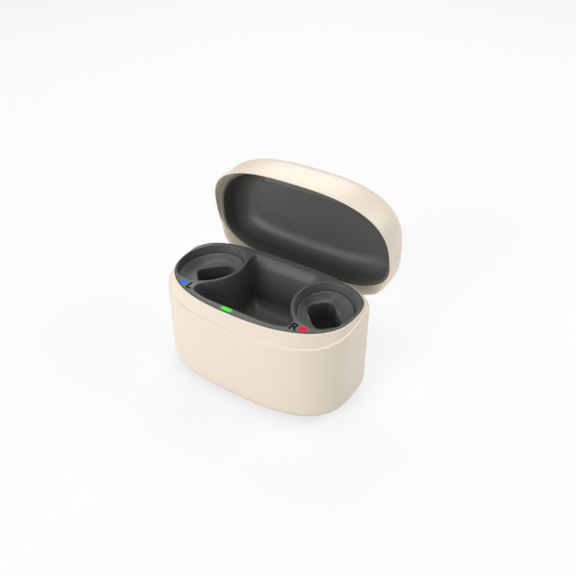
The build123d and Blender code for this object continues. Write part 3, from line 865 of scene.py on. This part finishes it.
def mouldedPlastic(name, look):
    # moulded plastic: faint cloudy colour, uneven sheen, a fine spark-eroded grain and worn edges
    material, nodes, links, shader = newMaterial(name)
    place = nodes.new("ShaderNodeTexCoord")
    cloud = addNode(nodes, "ShaderNodeTexNoise", Scale=look["cloudScale"], Detail=3.0, Roughness=0.5)
    links.new(place.outputs["Object"], cloud.inputs["Vector"])
    tint = nodes.new("ShaderNodeMix")
    tint.data_type = "RGBA"
    tint.inputs["A"].default_value = (*look["colour"], 1)
    tint.inputs["B"].default_value = (*look["shade"], 1)
    links.new(cloud.outputs["Fac"], tint.inputs["Factor"])
    worn = nodes.new("ShaderNodeNewGeometry")
    wornRamp = nodes.new("ShaderNodeMapRange")
    wornRamp.inputs["From Min"].default_value = moulding["wornFrom"]
    wornRamp.inputs["From Max"].default_value = moulding["wornTo"]
    wornRamp.inputs["To Max"].default_value = look["edgeWear"]
    links.new(worn.outputs["Pointiness"], wornRamp.inputs["Value"])
    edges = nodes.new("ShaderNodeMix")
    edges.data_type = "RGBA"
    edges.inputs["B"].default_value = (*look["edge"], 1)
    links.new(wornRamp.outputs["Result"], edges.inputs["Factor"])
    links.new(tint.outputs["Result"], edges.inputs["A"])
    links.new(edges.outputs["Result"], shader.inputs["Base Color"])
    smear = addNode(nodes, "ShaderNodeTexNoise", Scale=look["smearScale"], Detail=4.0, Roughness=0.6)
    links.new(place.outputs["Object"], smear.inputs["Vector"])
    sheen = nodes.new("ShaderNodeMapRange")
    sheen.inputs["To Min"].default_value = look["roughLow"]
    sheen.inputs["To Max"].default_value = look["roughHigh"]
    links.new(smear.outputs["Fac"], sheen.inputs["Value"])
    links.new(sheen.outputs["Result"], shader.inputs["Roughness"])
    grain = addNode(nodes, "ShaderNodeTexNoise", Scale=look["grainScale"], Detail=2.0, Roughness=0.55)
    links.new(place.outputs["Object"], grain.inputs["Vector"])
    bump = addNode(nodes, "ShaderNodeBump", Strength=look["grainDepth"], Distance=moulding["grainHeight"])
    links.new(grain.outputs["Fac"], bump.inputs["Height"])
    links.new(bump.outputs["Normal"], shader.inputs["Normal"])
    shader.inputs["Specular IOR Level"].default_value = look.get("specular", 0.5)
    return material


creamLook = {
    "colour": (0.86, 0.77, 0.65),
    "shade": (0.84, 0.745, 0.62),
    "edge": (0.88, 0.81, 0.71),
    "cloudScale": 60.0,
    "smearScale": 130.0,
    "grainScale": 5200.0,
    "grainDepth": 0.12,
    "roughLow": 0.30,
    "roughHigh": 0.42,
    "edgeWear": 0.5,
}
darkLook = {
    "colour": (0.115, 0.116, 0.111),
    "shade": (0.103, 0.104, 0.100),
    "edge": (0.20, 0.202, 0.198),
    "cloudScale": 90.0,
    "smearScale": 160.0,
    "grainScale": 3600.0,
    "grainDepth": 0.25,
    "roughLow": 0.38,
    "roughHigh": 0.52,
    "edgeWear": 0.7,
}


def darkVariant(colour, shade, **changes):
    # another plastic or rubber with the dark deck's grain
    return dict(darkLook, colour=colour, shade=shade, **changes)


rubber = darkVariant((0.03, 0.03, 0.03), (0.022, 0.022, 0.022), roughLow=0.7, roughHigh=0.85)
looks = {
    "cream": ("creamShell", creamLook),
    "dark": ("darkDeck", darkLook),
    "grey": ("greyCover", darkVariant((0.36, 0.40, 0.42), (0.33, 0.37, 0.39), edge=(0.36, 0.38, 0.38))),
    "blue": ("blueMark", darkVariant((0.03, 0.19, 0.82), (0.025, 0.16, 0.76), edgeWear=0.0, specular=0.12)),
    "red": ("redMark", darkVariant((0.90, 0.012, 0.045), (0.84, 0.010, 0.04), edgeWear=0.0, specular=0.12)),
    "foot_rubber": ("footRubber", rubber),
    "foam": ("foamPad", rubber),
    "black": ("blackNylon", darkVariant((0.012, 0.012, 0.013), (0.016, 0.016, 0.017))),
    "board": ("boardLacquer", darkVariant((0.01, 0.11, 0.045), (0.008, 0.085, 0.035), edgeWear=0.0)),
    "wire": ("wireCover", darkVariant((0.45, 0.01, 0.01), (0.38, 0.008, 0.008), edgeWear=0.0)),
}
finishes = {slotName: mouldedPlastic(*look) for slotName, look in looks.items()}
inkLook = darkVariant((0.006, 0.006, 0.007), (0.009, 0.009, 0.010), edgeWear=0.0, specular=0.05)
ink = mouldedPlastic("letterInk", inkLook)
paleStrip = mouldedPlastic("paleStrip", darkVariant((0.15, 0.152, 0.146), (0.135, 0.137, 0.131)))


def drawnMetal(name, colour, low, high):
    # metal with fine turning marks
    material, nodes, links, shader = newMaterial(name)
    place = nodes.new("ShaderNodeTexCoord")
    stretch = nodes.new("ShaderNodeMapping")
    stretch.inputs["Scale"].default_value = metal["stretch"]
    links.new(place.outputs["Object"], stretch.inputs["Vector"])
    streaks = addNode(nodes, "ShaderNodeTexNoise", Scale=1.0, Detail=3.0)
    links.new(stretch.outputs["Vector"], streaks.inputs["Vector"])
    tone = nodes.new("ShaderNodeMix")
    tone.data_type = "RGBA"
    tone.inputs["A"].default_value = (*colour, 1)
    tone.inputs["B"].default_value = (*[value * metal["shade"] for value in colour], 1)
    links.new(streaks.outputs["Fac"], tone.inputs["Factor"])
    links.new(tone.outputs["Result"], shader.inputs["Base Color"])
    rough = nodes.new("ShaderNodeMapRange")
    rough.inputs["To Min"].default_value = low
    rough.inputs["To Max"].default_value = high
    links.new(streaks.outputs["Fac"], rough.inputs["Value"])
    links.new(rough.outputs["Result"], shader.inputs["Roughness"])
    shader.inputs["Metallic"].default_value = 1.0
    return material


metal = {
    "stretch": (400, 400, 5000),
    "shade": 0.8,
    "kinds": {
        "steel": ("turnedSteel", (0.56, 0.56, 0.58), 0.25, 0.4),
        "gold": ("goldPlate", (0.86, 0.62, 0.24), 0.18, 0.3),
        "nickel": ("nickelPlate", (0.66, 0.65, 0.63), 0.2, 0.32),
        "cell": ("cellFoil", (0.6, 0.61, 0.63), 0.3, 0.45),
    },
}
for slotName, kind in metal["kinds"].items():
    finishes[slotName] = drawnMetal(*kind)


window = {
    "edgeTone": (0.004, 0.5, 0.003),
    "middleTone": (0.015, 0.62, 0.006),
    "power": 0.6,
    "roughness": 0.3,
    "specular": 0.15,
}


def litWindow():
    # the green light: brightest in the middle of its window
    material, nodes, links, shader = newMaterial("greenLight")
    place = nodes.new("ShaderNodeTexCoord")
    centre = nodes.new("ShaderNodeMapping")
    wide, high = marks["glowSpread"]
    centre.inputs["Location"].default_value = (-marks["lightX"] * wide, -marks["lightY"] * high, 0.0)
    centre.inputs["Scale"].default_value = (1000 * wide, 1000 * high, 0.0)
    links.new(place.outputs["Object"], centre.inputs["Vector"])
    glow = nodes.new("ShaderNodeTexGradient")
    glow.gradient_type = "SPHERICAL"
    links.new(centre.outputs["Vector"], glow.inputs["Vector"])
    tone = nodes.new("ShaderNodeMix")
    tone.data_type = "RGBA"
    tone.inputs["A"].default_value = (*window["edgeTone"], 1)
    tone.inputs["B"].default_value = (*window["middleTone"], 1)
    links.new(glow.outputs["Fac"], tone.inputs["Factor"])
    links.new(tone.outputs["Result"], shader.inputs["Base Color"])
    links.new(tone.outputs["Result"], shader.inputs["Emission Color"])
    shader.inputs["Emission Strength"].default_value = window["power"]
    shader.inputs["Roughness"].default_value = window["roughness"]
    shader.inputs["Specular IOR Level"].default_value = window["specular"]
    return material


finishes["light"] = litWindow()

pieces = [
    (bodyPiece, "base", "cream", finishes["cream"], ("base_shell",)),
    (coverPiece, "base", "grey", finishes["grey"], ("base_cover",)),
    (lidPiece, "lid", "cream", finishes["cream"], ("lid_shell",)),
    (knucklePiece, "lid", "cream", finishes["cream"], ()),
    (liningPiece, "lid", "dark", finishes["dark"], ("lid_liner",)),
    (padPiece, "lid", "dark", paleStrip, ()),
    (deckPiece, "base", "dark", finishes["dark"], ("deck_tray",)),
    (leftCup, "base", "dark", finishes["dark"], ("pocket_cup_left",)),
    (rightCup, "base", "dark", finishes["dark"], ("pocket_cup_right",)),
    (leftLetter, "base", "black", ink, ()),
    (rightLetter, "base", "black", ink, ()),
]
for piece, body, slotName, material, nodesReplaced in pieces:
    piece.data.materials.clear()
    piece.data.materials.append(material)
    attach(piece, body)
    if nodesReplaced:
        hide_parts(*nodesReplaced)
for entry in frame["record"]["subparts"]:
    node = frame["nodes"][entry["node"]]
    node.data.materials.clear()
    node.data.materials.append(finishes[entry["material_slot"]])
print("stage: finishes given")

studio = {
    "floorSize": 6.0,
    "floorRoughness": 0.8,
    "floorSpecular": 0.2,
    "floorColour": (0.86, 0.86, 0.86),
    "floorWhite": 0.72,
    "worldStrength": 0.06,
    "lampDistance": 0.85,
    "lampSize": 0.45,
    "lampTarget": (0.0, 0.0, 0.03),
    "lamps": {
        "frontLamp": (-14.0, 19.0, 4.1),
        "topLamp": (0.0, 88.0, 2.9),
        "leftLamp": (-80.0, 20.0, 1.2),
        "backLeftLamp": (-150.0, 40.0, 2.2),
        "backRightLamp": (130.0, 35.0, 2.6),
        "rightLamp": (85.0, 20.0, 0.7),
    },
    "cameraPlace": (0.1210, -0.1725, 0.1897),
    "azimuth": 32.63,
    "elevation": 35.76,
    "lens": 45.0,
}


def makeFloor():
    leaveEditing()
    bpy.ops.mesh.primitive_plane_add(size=studio["floorSize"], location=(0, 0, 0))
    floor = bpy.context.object
    floor.name = "floor"
    material, nodes, links, shader = newMaterial("paleFloor")
    shader.inputs["Base Color"].default_value = (*studio["floorColour"], 1)
    shader.inputs["Roughness"].default_value = studio["floorRoughness"]
    shader.inputs["Specular IOR Level"].default_value = studio["floorSpecular"]
    # straight to the camera the floor is nearly white, and still takes the object's shadow
    white = addNode(nodes, "ShaderNodeEmission", Strength=1.0)
    path = nodes.new("ShaderNodeLightPath")
    share = nodes.new("ShaderNodeMath")
    share.operation = "MULTIPLY"
    share.inputs[1].default_value = studio["floorWhite"]
    links.new(path.outputs["Is Camera Ray"], share.inputs[0])
    choose = nodes.new("ShaderNodeMixShader")
    links.new(share.outputs["Value"], choose.inputs["Fac"])
    links.new(shader.outputs["BSDF"], choose.inputs[1])
    links.new(white.outputs["Emission"], choose.inputs[2])
    links.new(choose.outputs["Shader"], nodes["Material Output"].inputs["Surface"])
    floor.data.materials.append(material)


def makeWorld():
    world = bpy.data.worlds.new("studio")
    bpy.context.scene.world = world
    world.use_nodes = True
    nodes, links = world.node_tree.nodes, world.node_tree.links
    soft = nodes["Background"]
    soft.inputs["Color"].default_value = (1, 1, 1, 1)
    soft.inputs["Strength"].default_value = studio["worldStrength"]
    plain = nodes.new("ShaderNodeBackground")
    plain.inputs["Strength"].default_value = 1.0
    path = nodes.new("ShaderNodeLightPath")
    choose = nodes.new("ShaderNodeMixShader")
    links.new(path.outputs["Is Camera Ray"], choose.inputs["Fac"])
    links.new(soft.outputs["Background"], choose.inputs[1])
    links.new(plain.outputs["Background"], choose.inputs[2])
    links.new(choose.outputs["Shader"], nodes["World Output"].inputs["Surface"])


def makeLamp(name, azimuth, elevation, power):
    # a soft panel that looks at the middle of the case
    leaveEditing()
    turn, rise = math.radians(azimuth), math.radians(elevation)
    away = Vector((math.sin(turn) * math.cos(rise), -math.cos(turn) * math.cos(rise), math.sin(rise)))
    place = Vector(studio["lampTarget"]) + away * studio["lampDistance"]
    bpy.ops.object.light_add(type="AREA", location=place)
    lamp = bpy.context.object
    lamp.name = name
    lamp.data.shape = "SQUARE"
    lamp.data.size = studio["lampSize"]
    lamp.data.energy = power
    lamp.rotation_euler = (-away).to_track_quat("-Z", "Y").to_euler()


makeFloor()
makeWorld()
for lampName, (azimuth, elevation, power) in studio["lamps"].items():
    makeLamp(lampName, azimuth, elevation, power)
bpy.ops.object.camera_add(location=studio["cameraPlace"])
camera = bpy.context.object
a, e = math.radians(studio["azimuth"]), math.radians(studio["elevation"])
backward = Vector((math.sin(a) * math.cos(e), -math.cos(a) * math.cos(e), math.sin(e)))
camera.rotation_euler = (-backward).to_track_quat("-Z", "Y").to_euler()
camera.data.lens = studio["lens"]
camera.data.sensor_width = 36.0
camera.data.clip_start = 0.01
bpy.context.scene.camera = camera
bpy.context.scene.view_settings.view_transform = "Standard"
print("stage: studio made")
